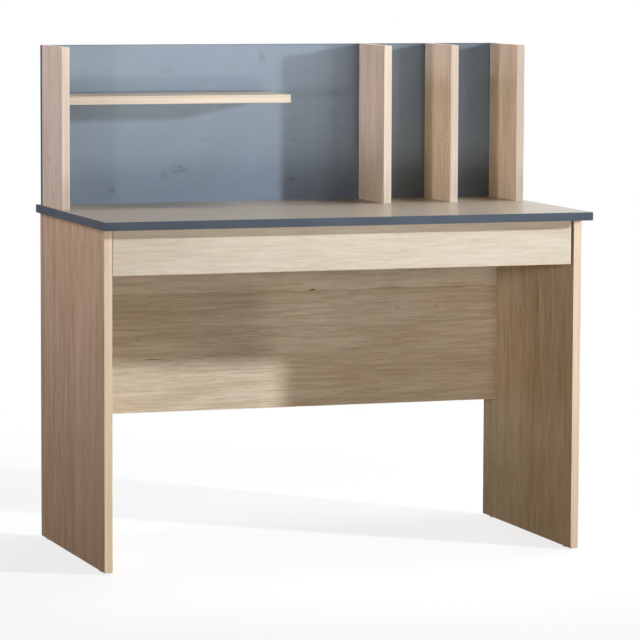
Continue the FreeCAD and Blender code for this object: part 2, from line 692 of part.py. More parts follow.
def cabinet_section():
    """Channel on the desk side that opens towards the drawer."""
    lip_end = f"{WEB_FACE} - sizes.runner_flange"
    lip_top = f"{CABINET_LIP} + sizes.runner_sheet"
    floor = f"{TRACK} - sizes.runner_sheet"
    return (
        (SIDE_IN, floor),
        (SIDE_IN, lip_top),
        (lip_end, lip_top),
        (lip_end, CABINET_LIP),
        (WEB_FACE, CABINET_LIP),
        (WEB_FACE, TRACK),
        (lip_end, TRACK),
        (lip_end, floor),
    )


def drawer_section():
    """Foot under the drawer side, web beside it and ledge that rides on the roller."""
    foot = f"{BOX_BOTTOM} - sizes.runner_sheet"
    web = f"{BOX_OUT} + sizes.runner_sheet"
    foot_end = f"{BOX_OUT} - sizes.runner_foot"
    ledge_end = f"{web} + sizes.runner_ledge"
    return (
        (foot_end, foot),
        (web, foot),
        (web, LEDGE_BOTTOM),
        (ledge_end, LEDGE_BOTTOM),
        (ledge_end, LEDGE_TOP),
        (BOX_OUT, LEDGE_TOP),
        (BOX_OUT, BOX_BOTTOM),
        (foot_end, BOX_BOTTOM),
    )


def roller(name, axis, x, y):
    """Nylon roller that turns on its axle."""
    half = "sizes.roller_width / 2"
    bore = "sizes.axle_radius + sizes.axle_running_fit"
    corners = (
        (bore, f"-{half}"),
        ("sizes.roller_radius", f"-{half}"),
        ("sizes.roller_radius", half),
        (bore, half),
    )
    body = turned(name, corners)
    body.Placement = Placement(Vector(), POINTING[axis])
    place(body, x, y, ROLLER_AXIS)
    nodes[name] = body


def runners():
    """Cabinet and drawer runners with rollers, axles and screws, on both sides."""
    axle_hole = bore_profile(f"sizes.axle_radius + {GROW}", f"-{SLACK}", f"sizes.runner_sheet + {SLACK}")
    hole = turned("axle_hole", axle_hole)
    fasteners["cabinet_axle"] = (turned("cabinet_axle", axle_profile("sizes.cabinet_collar")), hole)
    fasteners["drawer_axle"] = (turned("drawer_axle", axle_profile("sizes.drawer_collar")), hole)
    mid_roller = "(sizes.roller_side_play + sizes.roller_width / 2)"
    cabinet_roller = f"({WEB_FACE} - sizes.cabinet_collar - {mid_roller})"
    drawer_roller = f"({BOX_OUT} + sizes.runner_sheet + sizes.drawer_collar + {mid_roller})"
    front_axle = f"{RUNNER_FRONT} + sizes.roller_inset"
    rear_axle = f"{BOX_END} - sizes.roller_inset"
    screw_rows = (
        f"{RUNNER_FRONT} + sizes.runner_screw_inset",
        RUNNER_MID,
        f"{BOX_END} - sizes.runner_screw_inset",
    )
    for hand, sign, outward in HANDS:
        inward = "-X" if outward == "+X" else "+X"
        cabinet = f"{hand}_cabinet_runner"
        drawer = f"{hand}_drawer_runner"
        runner(cabinet, sign, cabinet_section())
        runner(drawer, sign, drawer_section())
        at = (f"{sign}{SIDE_IN}", front_axle, ROLLER_AXIS)
        fasten("cabinet_axle", "cabinet_roller_axles", inward, at, (cabinet,))
        at = (f"{sign}{BOX_OUT}", rear_axle, ROLLER_AXIS)
        fasten("drawer_axle", "drawer_roller_axles", outward, at, (drawer,))
        roller(f"{hand}_cabinet_roller", inward, f"{sign}{cabinet_roller}", front_axle)
        roller(f"{hand}_drawer_roller", outward, f"{sign}{drawer_roller}", rear_axle)
        foot_x = f"{sign}({BOX_OUT} - sizes.runner_screw_edge)"
        foot_z = f"{BOX_BOTTOM} - sizes.runner_sheet"
        for y in screw_rows:
            at = (f"{sign}{WEB_FACE}", y, ROLLER_AXIS)
            drilled = (cabinet, f"{hand}_side_panel")
            fasten("pan_screw", "cabinet_runner_screws", outward, at, drilled)
            drilled = (drawer, f"drawer_{hand}_side")
            fasten("pan_screw", "drawer_runner_screws", "+Z", (foot_x, y, foot_z), drilled)


def desk_fixings():
    """Cams, bolts and dowels that hold the sides, desktop and modesty panel, and the glides."""
    front_bolt = f"({SIDE_FRONT} + sizes.top_fixing_inset)"
    rear_bolt = f"({HUTCH_FRONT} - sizes.top_fixing_lead)"
    front_dowel = f"{front_bolt} + sizes.dowel_step"
    rear_dowel = f"{rear_bolt} - sizes.dowel_step"
    low_bolt = f"({MODESTY_BOTTOM} + sizes.modesty_fixing_low)"
    high_bolt = f"({SIDE_TOP} - sizes.modesty_fixing_high)"
    low_dowel = f"{low_bolt} + sizes.dowel_step"
    high_dowel = f"{high_bolt} - sizes.dowel_step"
    glide_rows = (f"{SIDE_FRONT} + sizes.glide_inset", f"{BACK} - sizes.glide_inset")
    for hand, sign, outward in HANDS:
        inward = "-X" if outward == "+X" else "+X"
        side = f"{hand}_side_panel"
        mid = f"{sign}{SIDE_MID}"
        face = f"{sign}{SIDE_IN}"
        for y in (front_bolt, rear_bolt):
            drilled = ("desktop_panel", side)
            fasten("bolt", "desktop_cam_bolts", "-Z", (mid, y, SIDE_TOP), drilled)
            at = (face, y, f"{SIDE_TOP} - sizes.bolt_reach")
            fasten("cam", "desktop_cam_locks", outward, at, (side,))
        for y in (front_dowel, rear_dowel):
            at = (mid, y, SIDE_TOP)
            fasten("dowel", "desktop_dowels", "-Z", at, ("desktop_panel", side))
        for z in (low_bolt, high_bolt):
            drilled = (side, "modesty_panel")
            fasten("bolt", "modesty_cam_bolts", inward, (face, MODESTY_MID, z), drilled)
            at = (f"{sign}({SIDE_IN} - sizes.bolt_reach)", MODESTY_BACK, z)
            fasten("cam", "modesty_cam_locks", "-Y", at, ("modesty_panel",))
        for z in (low_dowel, high_dowel):
            at = (face, MODESTY_MID, z)
            fasten("dowel", "modesty_dowels", inward, at, (side, "modesty_panel"))
        for y in glide_rows:
            fasten("glide", "floor_glides", "+Z", (mid, y, SIDE_BOTTOM), (side,))
    left_dowel = f"sizes.modesty_dowel_inset - {SIDE_IN}"
    right_dowel = f"{SIDE_IN} - sizes.bay_width / 2"
    for x in (left_dowel, right_dowel):
        at = (x, MODESTY_MID, SIDE_TOP)
        fasten("dowel", "desktop_dowels", "-Z", at, ("desktop_panel", "modesty_panel"))


def hutch_fixings():
    """Screws up through the desktop, screws and caps at the back, and the shelf's dowels."""
    rows = (f"{HUTCH_FRONT} + sizes.upright_screw_inset", f"{BACK_FACE} - sizes.upright_screw_inset")
    heights = (f"{TOP_FACE} + sizes.back_screw_inset", f"{HUTCH_TOP} - sizes.back_screw_inset")
    cap = turned("cover_cap", cap_profile())
    back_screws = []
    for name, x in UPRIGHTS:
        mid = f"{x} + sizes.board / 2"
        for y in rows:
            drilled = ("desktop_panel", name)
            fasten("wood_screw", "hutch_base_screws", "+Z", (mid, y, SIDE_TOP), drilled)
        back_screws += [(mid, z, name) for z in heights]
    back_base = (
        f"sizes.back_base_inset - {SIDE_IN}",
        "0",
        f"{SIDE_IN} - sizes.back_base_inset",
    )
    for x in back_base:
        drilled = ("desktop_panel", "hutch_back_panel")
        fasten("wood_screw", "hutch_base_screws", "+Z", (x, BACK_MID, SIDE_TOP), drilled)
    shelf_columns = (
        f"sizes.shelf_screw_inset - {SIDE_IN}",
        f"({SHELF_END} - {SIDE_IN}) / 2",
        f"{SHELF_END} - sizes.shelf_screw_inset",
    )
    back_screws += [(x, SHELF_MID, "hutch_shelf") for x in shelf_columns]
    for x, z, name in back_screws:
        at = (x, HUTCH_BACK, z)
        fasten("confirmat", "hutch_back_screws", "-Y", at, ("hutch_back_panel", name))
        group_copy(cap, "screw_cover_caps", "-Y", at)
    for y in rows:
        at = (f"-{SIDE_IN}", y, SHELF_MID)
        fasten("dowel", "shelf_dowels", "+X", at, ("hutch_left_side", "hutch_shelf"))


def drawer_fixings():
    """Cams, bolts and dowels behind the drawer front, and the screws of the box."""
    back_screw_rows = (f"{GROOVE_TOP} + sizes.box_screw_inset", f"{BOX_TOP} - sizes.box_screw_inset")
    outer_screw = f"({BOX_IN} - sizes.bottom_screw_inset)"
    inner_screw = f"({outer_screw} - sizes.bottom_screw_step)"
    for hand, sign, outward in HANDS:
        inward = "-X" if outward == "+X" else "+X"
        side = f"drawer_{hand}_side"
        mid = f"{sign}{BOX_SIDE_MID}"
        drilled = ("drawer_front", side)
        fasten("bolt", "drawer_cam_bolts", "+Y", (mid, FRONT_BACK, BOX_CAM), drilled)
        at = (f"{sign}{BOX_IN}", f"{FRONT_BACK} + sizes.bolt_reach", BOX_CAM)
        fasten("box_cam", "drawer_cam_locks", outward, at, (side,), 90)
        at = (mid, FRONT_BACK, f"{BOX_TOP} - sizes.box_dowel_inset")
        fasten("dowel", "drawer_dowels", "+Y", at, drilled)
        for z in back_screw_rows:
            at = (f"{sign}{BOX_OUT}", BOX_BACK_MID, z)
            fasten("wood_screw", "drawer_back_screws", inward, at, (side, "drawer_back"))
        for x in (outer_screw, inner_screw):
            at = (f"{sign}{x}", BOX_BACK_MID, GROOVE_BOTTOM)
            drilled = ("drawer_bottom", "drawer_back")
            fasten("pan_screw", "drawer_bottom_screws", "+Z", at, drilled)


def check_and_write():
    """Stop at any failed object or empty cut, then write one file for each node."""
    for item in doc.Objects:
        if "Invalid" in item.State or "Error" in item.State:
            raise RuntimeError(f"{item.Name} did not build: {item.State}")
        if item.TypeId == "Part::Cut" and item.Shape.Volume > item.Base.Shape.Volume - 0.1:
            raise RuntimeError(f"{item.Name} cuts nothing")
    for name, piece in nodes.items():
        shape = piece.Shape
        if shape.isNull() or not shape.isValid() or not shape.Solids:
            raise RuntimeError(f"{name} is not a valid solid")
        if len(shape.Solids) != len(groups.get(name, [name])):
            raise RuntimeError(f"{name} has {len(shape.Solids)} solids")
    os.makedirs("parts", exist_ok=True)
    for name, piece in nodes.items():
        piece.Label = name
        piece.Shape.exportStep(f"parts/{name}.step")
    print(f"{len(nodes)} nodes, {sum(len(piece.Shape.Solids) for piece in nodes.values())} solids")


desk_boards()
hutch_boards()
drawer_boards()
runners()
desk_fixings()
hutch_fixings()
drawer_fixings()
finish_boards()
finish_groups()
doc.recompute()
check_and_write()
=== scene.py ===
"""Looks of a student desk with hutch: finishes, camera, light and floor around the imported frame."""
import math

import bpy
from mathutils import Matrix, Vector

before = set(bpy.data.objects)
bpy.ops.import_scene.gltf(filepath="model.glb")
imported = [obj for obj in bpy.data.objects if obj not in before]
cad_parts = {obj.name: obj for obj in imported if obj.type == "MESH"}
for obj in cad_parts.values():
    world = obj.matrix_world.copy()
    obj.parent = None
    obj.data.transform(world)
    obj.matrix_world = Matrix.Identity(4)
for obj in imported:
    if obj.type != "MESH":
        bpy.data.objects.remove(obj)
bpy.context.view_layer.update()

# The camera comes from a pinhole fit to corners of the desk in the photograph: focal length in pixels
# of a square frame, angles in degrees, place in metres.
FRAME_PX = 640
FOCAL_PX = 3608.25
SENSOR_MM = 36.0
YAW = 19.0227
PITCH = 5.8702
ROLL = 0.2305
EYE = (-2.5815, -7.5484, 1.3243)
CLIP_END = 60.0

# A row of narrow spots stands far off in front of the desk. They aim above the hutch, so that its top
# gets the most of their light.
HUTCH_ROW_Z = 0.97
HUTCH_ROW_AIM = (-0.2, 0.25, 1.47)
HUTCH_ROW_WIDTH = 0.4
HUTCH_ROW_COLOUR = (0.975, 1.0, 0.93)
HUTCH_ROW_CONE = 12.5


def hutch_spot(x, y, power):
    """One spot of the row, as an entry of LAMPS."""
    return ((x, y, HUTCH_ROW_Z), HUTCH_ROW_AIM, HUTCH_ROW_WIDTH, power, HUTCH_ROW_COLOUR, HUTCH_ROW_CONE)


# Lamps: place, aim, width, power in watts, colour, and a cone in degrees for a spot. A lamp without a
# cone is a disk. The key and its spot stand to the right of the desk, where the shadows of the dividers,
# the shelf and the desktop point. Two lamps stand to the left a little above the desktop, and two more
# higher up. The low front lamp lights the drawer and the knee space, and the desktop keeps it off the
# foot of the hutch. A wider spot and the row of narrow ones stand far off in front. The last two light
# the desktop from above and the desk from behind.
KEY_PLACE = (2.20, -1.69, 1.445)
LAMPS = {
    "key": (KEY_PLACE, (0.0, 0.0, 0.7), 0.16, 6.5, (0.89, 0.97, 1.0), None),
    "key_low": (KEY_PLACE, (-0.3, 0.0, 0.1), 0.14, 25.2, (0.84, 0.92, 1.0), 36.0),
    "left_low": ((-2.58, -2.20, 0.90), (0.0, 0.0, 0.6), 0.3, 1.34, (1.0, 0.74, 0.40), None),
    "left_upper": ((-2.58, -2.20, 0.95), (-0.1, 0.0, 1.15), 0.3, 7.2, (0.66, 0.74, 1.0), 40.0),
    "left_back": ((-2.2, 0.2, 1.7), (-0.4, 0.1, 0.8), 0.6, 29.6, (0.86, 0.80, 1.0), 60.0),
    "left_high": ((-1.9, 0.0, 2.3), (0.0, 0.1, 1.0), 0.6, 49.0, (0.90, 0.83, 1.0), 60.0),
    "front_low": ((0.5, -3.6, 0.22), (0.0, 0.2, 0.7), 0.5, 34.5, (1.0, 0.99, 0.90), None),
    "front_far": ((2.6, -5.6, 0.97), (0.0, 0.25, 1.3), 0.4, 142.0, (0.88, 0.91, 1.0), 18.0),
    "hutch_1": hutch_spot(-0.3, -6.0, 210.0),
    "hutch_2": hutch_spot(0.6, -6.0, 314.0),
    "hutch_3": hutch_spot(1.5, -6.0, 375.0),
    "hutch_4": hutch_spot(2.4, -5.8, 362.0),
    "hutch_5": hutch_spot(3.4, -5.4, 362.0),
    "top": ((1.2, 0.2, 2.8), (0.3, 0.1, 0.7), 1.2, 42.3, (0.81, 0.87, 1.0), None),
    "back": ((1.3, 4.0, 0.85), (0.0, 0.28, 0.7), 0.8, 115.0, (1.0, 0.97, 0.93), None),
}
# These lamps don't fade with distance.
EVEN_LAMPS = ("key", "key_low", "left_low", "left_upper")
WORLD_COLOUR = (0.96, 0.98, 1.0, 1.0)
WORLD_STRENGTH = 0.02

# The floor gives back little light, and its share of plain white to the camera grows with the distance
# from the desk, over these metres.
FLOOR_HALF = 12.0
FLOOR_BOUNCE = (0.12, 0.09, 0.065, 1.0)
FLOOR_WHITE_SHARE = 0.80
FLOOR_FADE = (0.9, 2.4)

WHITE = (1.0, 1.0, 1.0, 1.0)
WHITE_STRENGTH = 1.0


def srgb(red, green, blue):
    """A colour given as it looks on screen, 0 to 255, as the linear colour that a shader takes."""
    linear = []
    for value in (red, green, blue):
        share = value / 255.0
        linear.append(share / 12.92 if share <= 0.04045 else ((share + 0.055) / 1.055) ** 2.4)
    return (*linear, 1.0)


# Light and dark tone of each decor. The photograph's light is uneven, so a face in its shade renders
# darker than written here, and the top of the hutch back lighter.
# The oak boards share one decor, but each board has tones of its own, set to how bright it looks under
# this light: the differences between boards are painted light and painted shade. The drawer front's
# tones are lightened: painted light.
FRONT_PAINTED_LIGHT_TONES = (srgb(229, 218, 203), srgb(191, 174, 152))
LEFT_TONES = (srgb(230, 200, 163), srgb(194, 155, 118))
RIGHT_TONES = (srgb(215, 202, 175), srgb(181, 158, 127))
# The uprights' tones are lightened: painted light.
UPRIGHT_PAINTED_LIGHT_TONES = (srgb(242, 228, 205), srgb(210, 184, 156))
# The desktop's tones, which the shelf shares, are darkened: painted shade.
TOP_PAINTED_SHADE_TONES = (srgb(187, 173, 153), srgb(155, 137, 113))
MODESTY_TONES = (srgb(213, 200, 182), srgb(179, 161, 137))
OAK_MARK = srgb(112, 88, 64)
EDGE_TONES = (srgb(235, 212, 190), srgb(206, 179, 150))
# The hutch and shelf front bands are darker copies of the one oak band: painted shade, the most on the
# shelf.
HUTCH_EDGE_PAINTED_SHADE_TONES = (srgb(221, 204, 190), srgb(196, 175, 154))
SHELF_EDGE_PAINTED_SHADE_TONES = (srgb(203, 189, 176), srgb(180, 162, 143))
SLATE_TONES = (srgb(113, 126, 140), srgb(105, 115, 129))
SLATE_MARK = srgb(62, 68, 77)
TRIM_TONES = (srgb(86, 94, 105), srgb(80, 87, 98))
CHIP_TONES = (srgb(205, 178, 138), srgb(132, 98, 62))
BEECH_TONES = (srgb(222, 190, 148), srgb(178, 137, 94))
FOIL_TONES = (srgb(226, 222, 212), srgb(206, 201, 189))
SHEET_TONES = (srgb(208, 202, 190), srgb(184, 176, 160))
SHEET_SPECK = srgb(150, 134, 110)

# Fittings: tones, roughness, features of the skin per metre, metallic share, and the nodes.
FITTINGS = {
    "runner_steel": (
        (srgb(226, 225, 219), srgb(208, 207, 200)), 0.38, 1100.0, 0.0,
        ("left_cabinet_runner", "right_cabinet_runner", "left_drawer_runner", "right_drawer_runner"),
    ),
    "roller_nylon": (
        (srgb(228, 226, 216), srgb(206, 203, 192)), 0.34, 700.0, 0.0,
        ("left_cabinet_roller", "right_cabinet_roller", "left_drawer_roller", "right_drawer_roller"),
    ),
    "cam_zinc": (
        (srgb(178, 180, 182), srgb(140, 143, 147)), 0.42, 1500.0, 1.0,
        ("desktop_cam_locks", "modesty_cam_locks", "drawer_cam_locks"),
    ),
    "fastener_steel": (
        (srgb(206, 203, 192), srgb(166, 162, 150)), 0.30, 1800.0, 1.0,
        ("desktop_cam_bolts", "modesty_cam_bolts", "drawer_cam_bolts", "cabinet_roller_axles",
         "drawer_roller_axles", "cabinet_runner_screws", "drawer_runner_screws", "hutch_base_screws",
         "hutch_back_screws", "drawer_back_screws", "drawer_bottom_screws"),
    ),
    "cap_plastic": (
        (srgb(136, 147, 158), srgb(120, 131, 142)), 0.40, 900.0, 0.0,
        ("screw_cover_caps",),
    ),
    "glide_plastic": (
        (srgb(226, 224, 215), srgb(206, 203, 192)), 0.45, 900.0, 0.0,
        ("floor_glides",),
    ),
}

# Faces that carry single marks, and how far through a board such a mark goes, in metres.
MARK_DEPTH = 0.012
BACK_FACE_Y = 0.264
MODESTY_FACE = 0.210
LEFT_FACE = -0.545
RIGHT_FACE = 0.527

# Single cracks and knots of the oak: place along the grain, across it and through the board, half
# length, half width and strength.
MODESTY_MARKS = [
    (-0.303, 0.403, MODESTY_FACE, 0.032, 0.0018, 0.80),
    (-0.248, 0.390, MODESTY_FACE, 0.024, 0.0014, 0.45),
    (-0.166, 0.406, MODESTY_FACE, 0.022, 0.0014, 0.45),
    (0.075, 0.5505, MODESTY_FACE, 0.012, 0.0036, 0.90),
    (0.261, 0.550, MODESTY_FACE, 0.060, 0.0018, 0.60),
    (0.432, 0.547, MODESTY_FACE, 0.024, 0.0016, 0.55),
    (0.282, 0.5035, MODESTY_FACE, 0.011, 0.0070, 0.35),
    (0.376, 0.505, MODESTY_FACE, 0.013, 0.0060, 0.25),
    (0.168, 0.540, MODESTY_FACE, 0.011, 0.0050, 0.25),
]
LEFT_MARKS = [
    (0.336, 0.131, LEFT_FACE, 0.014, 0.0045, 0.65),
    (0.305, 0.128, LEFT_FACE, 0.032, 0.0035, 0.22),
    (0.500, -0.002, LEFT_FACE, 0.090, 0.0035, 0.30),
]
RIGHT_MARKS = [
    (0.532, -0.0405, RIGHT_FACE, 0.048, 0.0035, 0.50),
    (0.400, -0.045, RIGHT_FACE, 0.095, 0.0070, 0.25),
    (0.505, 0.059, RIGHT_FACE, 0.016, 0.0045, 0.40),
    (0.393, -0.1335, RIGHT_FACE, 0.011, 0.0045, 0.50),
    (0.283, -0.131, RIGHT_FACE, 0.105, 0.0026, 0.30),
]
HUTCH_MARKS = [
    (0.856, 0.202, LEFT_FACE, 0.009, 0.0035, 0.55),
]

# Oval figures of the oak, given as marks are but without strength.
HUTCH_HEARTS = [
    (0.856, 0.150, 0.366, 0.085, 0.042),
    (0.985, 0.130, 0.366, 0.110, 0.028),
    (1.000, 0.165, 0.527, 0.120, 0.030),
]

# Single stains of the hutch back: place along X and Z, half width, half height and strength.
SMUDGES = [
    (-0.227, 0.826, 0.034, 0.016, 0.50),
    (-0.265, 0.817, 0.012, 0.026, 0.35),
    (-0.162, 0.894, 0.034, 0.005, 0.32),
    (-0.382, 0.783, 0.012, 0.012, 0.50),
    (-0.028, 1.077, 0.016, 0.022, 0.32),
    (-0.257, 1.050, 0.026, 0.016, 0.28),
    (0.048, 0.798, 0.026, 0.014, 0.45),
    (0.058, 0.891, 0.024, 0.005, 0.32),
]

# The middle of the oak's summed grain noises, and how far from it the tones reach at a contrast of 1.
GRAIN_MEAN = 1.88
GRAIN_REACH = 0.75

# How far, in metres, the cut of a plank is moved along the grain and through it, and how far the grain
# sways across the board.
PLANK_SHIFT = 11.0
PLANK_LAYER = 3.0
GRAIN_SWAY = 0.022

# Growth lines in radians per metre, those of a heart in radians per reach, and how far noise bends them.
GROWTH_WAVES = 1250.0
GROWTH_BEND = 70.0
HEART_WAVES = 34.0
HEART_BEND = 12.0

# Half widths, in metres, of the dark line between two planks: its core and its faded edge.
JOINT_CORE = 0.0003
JOINT_EDGE = 0.0013

# How far, in metres, the outline of a mark strays to either side.
OAK_RAGGED = 0.002
SLATE_RAGGED = 0.01

# Waves of the linen weave of the drawer foil, in radians per metre.
WEAVE = 5200.0

# Share of a spot's radius that is full, in random spots and in single marks.
SPOT_CORE = 0.35
MARK_CORE = 0.25

# Places of the colour sockets on a mix node.
MIX_FIRST = 6
MIX_SECOND = 7
MIX_RESULT = 2


class Tree:
    """A node tree with short calls for the nodes that the finishes share."""

    def __init__(self, owner):
        owner.use_nodes = True
        self.owner = owner
        self.nodes = owner.node_tree.nodes
        self.links = owner.node_tree.links

    def clear(self):
        for old in list(self.nodes):
            self.nodes.remove(old)

    def feed(self, socket, value):
        """Links the socket to another socket, or sets it to a plain value."""
        if isinstance(value, bpy.types.NodeSocket):
            self.links.new(value, socket)
        else:
            socket.default_value = value

    def node(self, kind, *values, **settings):
        """A new node with these settings, and with its first inputs fed in their order."""
        made = self.nodes.new(kind)
        for key, value in settings.items():
            setattr(made, key, value)
        for socket, value in zip(made.inputs, values):
            self.feed(socket, value)
        return made

    def math(self, operation, first, second=0.0, third=0.0):
        return self.node("ShaderNodeMath", first, second, third, operation=operation).outputs[0]

    def total(self, *terms):
        """The sum of (socket, weight) pairs."""
        result = 0.0
        for socket, weight in terms:
            result = self.math("MULTIPLY_ADD", socket, weight, result)
        return result

    def largest(self, values):
        result = 0.0
        for value in values:
            result = self.math("MAXIMUM", value, result)
        return result

    def span(self, value, low, high, to_low=0.0, to_high=1.0):
        """A smooth step from to_low to to_high while value goes from low to high."""
        ends = (low, high, to_low, to_high)
        return self.node("ShaderNodeMapRange", value, *ends, interpolation_type="SMOOTHSTEP").outputs[0]

    def stray(self, value, reach):
        """A value from 0 to 1 as one that goes as far as reach to either side of 0."""
        return self.math("MULTIPLY_ADD", value, 2 * reach, -reach)

    def join(self, x, y, z):
        return self.node("ShaderNodeCombineXYZ", x, y, z).outputs[0]

    def split(self, vector):
        return tuple(self.node("ShaderNodeSeparateXYZ", vector).outputs)

    def stretch(self, vector, factors):
        return self.node("ShaderNodeVectorMath", vector, factors, operation="MULTIPLY").outputs[0]

    def length(self, vector):
        return self.node("ShaderNodeVectorMath", vector, operation="LENGTH").outputs["Value"]

    def noise(self, vector, factors, detail=2.0, roughness=0.5):
        """Noise with so many features per metre along each axis."""
        made = self.node("ShaderNodeTexNoise")
        self.feed(made.inputs["Vector"], self.stretch(vector, factors))
        made.inputs["Scale"].default_value = 1.0
        made.inputs["Detail"].default_value = detail
        made.inputs["Roughness"].default_value = roughness
        return made.outputs[0]

    def cells(self, vector, factors):
        """Distance to the middle of a random cell, and a random number of that cell."""
        made = self.node("ShaderNodeTexVoronoi")
        self.feed(made.inputs["Vector"], self.stretch(vector, factors))
        made.inputs["Scale"].default_value = 1.0
        pick = self.node("ShaderNodeSeparateColor", made.outputs["Color"])
        return made.outputs["Distance"], pick.outputs[0]

    def mix(self, factor, first, second):
        """The first colour where the factor is 0 and the second where it is 1."""
        made = self.node("ShaderNodeMix", factor, data_type="RGBA")
        self.feed(made.inputs[MIX_FIRST], first)
        self.feed(made.inputs[MIX_SECOND], second)
        return made.outputs[MIX_RESULT]

    def mix_shaders(self, factor, first, second):
        """The first shader where the factor is 0 and the second where it is 1."""
        return self.node("ShaderNodeMixShader", factor, first, second).outputs[0]

    def spots(self, vector, factors, radius, kept):
        """Soft spots of that radius in the middle of a share of random cells."""
        distance, pick = self.cells(vector, factors)
        spot = self.span(distance, radius * SPOT_CORE, radius, 1.0, 0.0)
        return self.math("MULTIPLY", spot, self.math("LESS_THAN", pick, kept))

    def away(self, vector, centre, reach):
        """Distance from a centre, 1 at its reach along each axis."""
        offset = self.node("ShaderNodeVectorMath", vector, centre, operation="SUBTRACT").outputs[0]
        return self.length(self.stretch(offset, [1.0 / axis for axis in reach]))

    def mark(self, vector, centre, reach):
        """One soft spot around a centre, with its own reach along each axis."""
        return self.span(self.away(vector, centre, reach), MARK_CORE, 1.0, 1.0, 0.0)

    def bump(self, height, depth, strength):
        made = self.node("ShaderNodeBump")
        made.inputs["Strength"].default_value = strength
        made.inputs["Distance"].default_value = depth
        self.feed(made.inputs["Height"], height)
        return made.outputs[0]

    def place(self):
        return self.node("ShaderNodeTexCoord").outputs["Object"]

    def face(self):
        return self.node("ShaderNodeTexCoord").outputs["Normal"]

    def surface(self, colour, roughness, normal, **constants):
        """Feeds the shader. Numbers that are the same all over are set on its own sockets."""
        shader = self.nodes["Principled BSDF"]
        self.feed(shader.inputs["Base Color"], colour)
        self.feed(shader.inputs["Roughness"], roughness)
        self.feed(shader.inputs["Normal"], normal)
        for key, value in constants.items():
            shader.inputs[key.replace("_", " ")].default_value = value
        return self.owner


def new_tree(name):
    return Tree(bpy.data.materials.new(name))


def same(factor):
    """So many features per metre along every axis."""
    return (factor, factor, factor)


def grained(along, across):
    """So many features per metre along the grain, and across and through it."""
    return (along, across, across)


def grain_axes(tree, vector, along, across):
    """The parts of a vector along the grain, across it on the face, and through the board."""
    parts = dict(zip("XYZ", tree.split(vector)))
    through = next(axis for axis in "XYZ" if axis not in (along, across))
    return parts[along], parts[across], parts[through]


def chipboard(tree, place):
    """Colour and height of chipboard, which shows where a board has no band and in the bores."""
    distance, pick = tree.cells(place, same(420.0))
    flakes = tree.total((pick, 0.65), (tree.noise(place, same(1300.0)), 0.6))
    return tree.mix(tree.span(flakes, 0.2, 1.0), *CHIP_TONES), distance


def joint_line(tree, grain, row, plank):
    """Thin broken line where two planks of the decor meet."""
    within = tree.math("FRACT", row)
    nearest = tree.math("MINIMUM", within, tree.math("SUBTRACT", 1.0, within))
    line = tree.span(nearest, JOINT_CORE / plank, JOINT_EDGE / plank, 1.0, 0.0)
    return tree.math("MULTIPLY", line, tree.span(tree.noise(grain, same(5.0)), 0.44, 0.62))


def growth_lines(tree, grain, across, board, hearts):
    """Growth lines in patches: straight ones, and nested ovals around each heart."""
    bend = tree.noise(grain, grained(1.0, 5.0), 1.0)
    phase = tree.math("MULTIPLY_ADD", bend, GROWTH_BEND, tree.math("MULTIPLY", across, GROWTH_WAVES))
    straight = tree.span(tree.math("SINE", phase), -0.3, 1.0)
    patch = tree.span(tree.noise(grain, grained(1.3, 20.0), 1.0), 0.50, 0.68)
    lines = [tree.math("MULTIPLY", straight, patch)]
    for at_u, at_v, at_w, long, wide in hearts:
        away = tree.away(board, (at_u, at_v, at_w), (long, wide, MARK_DEPTH))
        phase = tree.math("MULTIPLY_ADD", bend, HEART_BEND, tree.math("MULTIPLY", away, HEART_WAVES))
        ovals = tree.span(tree.math("SINE", phase), -0.2, 1.0)
        lines.append(tree.math("MULTIPLY", ovals, tree.span(away, 0.45, 1.0, 1.3, 0.0)))
    return tree.largest(lines)


